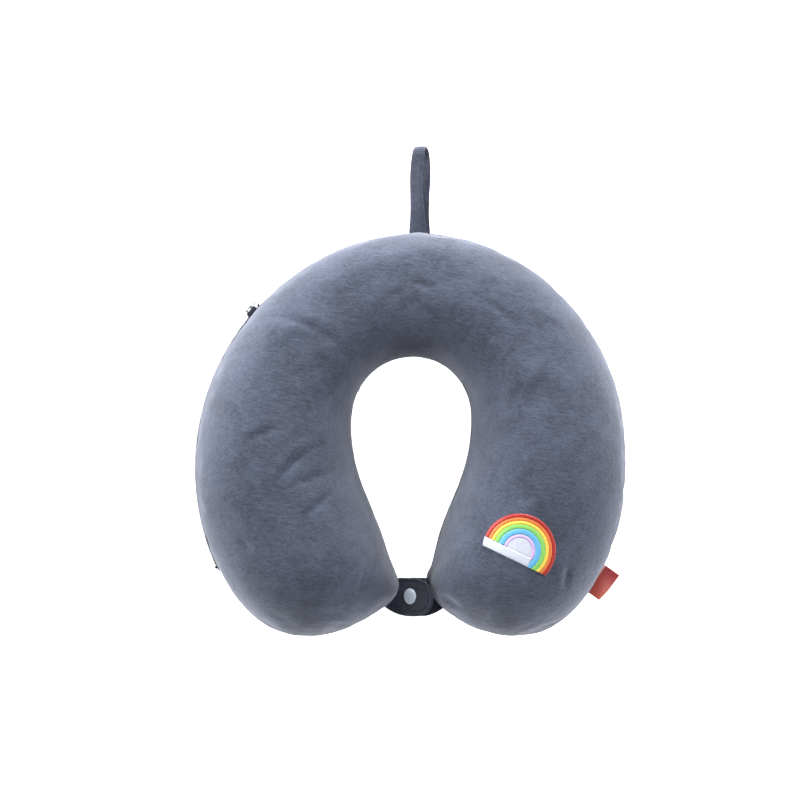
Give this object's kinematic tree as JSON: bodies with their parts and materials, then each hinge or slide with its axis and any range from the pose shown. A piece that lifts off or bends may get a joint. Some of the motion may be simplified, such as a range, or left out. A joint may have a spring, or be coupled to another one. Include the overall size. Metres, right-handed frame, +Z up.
{
  "type": "neck pillow",
  "caption": "U-shaped travel neck pillow with a velour cover, side zip, hanging loop, snap closure tabs, side label and a rainbow patch.",
  "frame": {"origin": "middle of the footprint, on the surface that the pillow lies on", "axes": "+Z up out of the surface, +Y towards the back of the neck and the hanging loop, +X towards the leg with the patch and the label"},
  "size_m": [0.3016, 0.3402, 0.1101],
  "materials": {
    "velour": "short-pile velour",
    "dark_velour": "short-pile velour",
    "liner_knit": "fine knit",
    "foam": "open-cell memory foam",
    "zip_tape": "woven tape",
    "zip_nylon": "moulded nylon coil",
    "zip_enamel": "satin enamel",
    "snap_plastic": "satin moulded plastic",
    "label_satin": "woven satin",
    "thread_pale": "embroidery thread",
    "thread_red": "embroidery thread",
    "thread_orange": "embroidery thread",
    "thread_yellow": "embroidery thread",
    "thread_green": "embroidery thread",
    "thread_blue": "embroidery thread",
    "thread_lilac": "embroidery thread"
  },
  "bodies": {
    "pillow": {"cover_top_panel": "velour", "cover_bottom_panel": "velour", "liner_top": "liner_knit", "liner_bottom": "liner_knit", "foam_core": "foam", "zip_tape_upper": "zip_tape", "zip_tape_lower": "zip_tape", "zip_coil_upper": "zip_nylon", "zip_coil_lower": "zip_nylon", "zip_top_stop_upper": "zip_enamel", "zip_top_stop_lower": "zip_enamel", "zip_bottom_stop": "zip_enamel", "patch_backing": "thread_pale", "patch_base_strip": "thread_pale", "patch_field": "thread_pale", "patch_band_red": "thread_red", "patch_band_orange": "thread_orange", "patch_band_yellow": "thread_yellow", "patch_band_green": "thread_green", "patch_band_blue": "thread_blue", "patch_band_lilac": "thread_lilac"},
    "loop": {"hang_loop": "dark_velour"},
    "tab_left": {"closure_tab_left": "dark_velour", "snap_cap_left": "snap_plastic", "snap_socket": "snap_plastic"},
    "tab_right": {"closure_tab_right": "dark_velour", "snap_cap_right": "snap_plastic", "snap_stud": "snap_plastic"},
    "slider": {"zip_slider": "zip_enamel"},
    "pull": {"zip_pull_tab": "zip_enamel"},
    "label": {"side_label": "label_satin"}
  },
  "joints": [
    {"name": "tab_left_bend", "type": "hinge", "parent": "pillow", "child": "tab_left", "pos_m": [-0.00659, -0.1385, 0.0513], "axis": [-0.4332, -0.9013, 0], "range_deg": [0, 60], "stiffness_Nm_per_rad": 0.004},
    {"name": "tab_right_bend", "type": "hinge", "parent": "pillow", "child": "tab_right", "pos_m": [0.01205, -0.13845, 0.0487], "axis": [0.3729, -0.9279, 0], "range_deg": [0, 60], "stiffness_Nm_per_rad": 0.004},
    {"name": "loop_swing", "type": "hinge", "parent": "pillow", "child": "loop", "pos_m": [0.0056, 0.1132, 0.05], "axis": [1, 0, 0], "range_deg": [-60, 60], "stiffness_Nm_per_rad": 0.01},
    {"name": "label_bend", "type": "hinge", "parent": "pillow", "child": "label", "pos_m": [0.13091, -0.13243, 0.05], "axis": [0.5878, 0.809, 0], "range_deg": [-50, 50], "stiffness_Nm_per_rad": 0.0008},
    {"name": "zip_travel", "type": "hinge", "parent": "pillow", "child": "slider", "pos_m": [0.0166, -0.0545, 0.05], "axis": [0, 0, 1], "range_deg": [0, 62]},
    {"name": "pull_flip", "type": "hinge", "parent": "slider", "child": "pull", "pos_m": [-0.11229, 0.05597, 0.05], "axis": [0, 0, 1], "range_deg": [0, 170]}
  ]
}
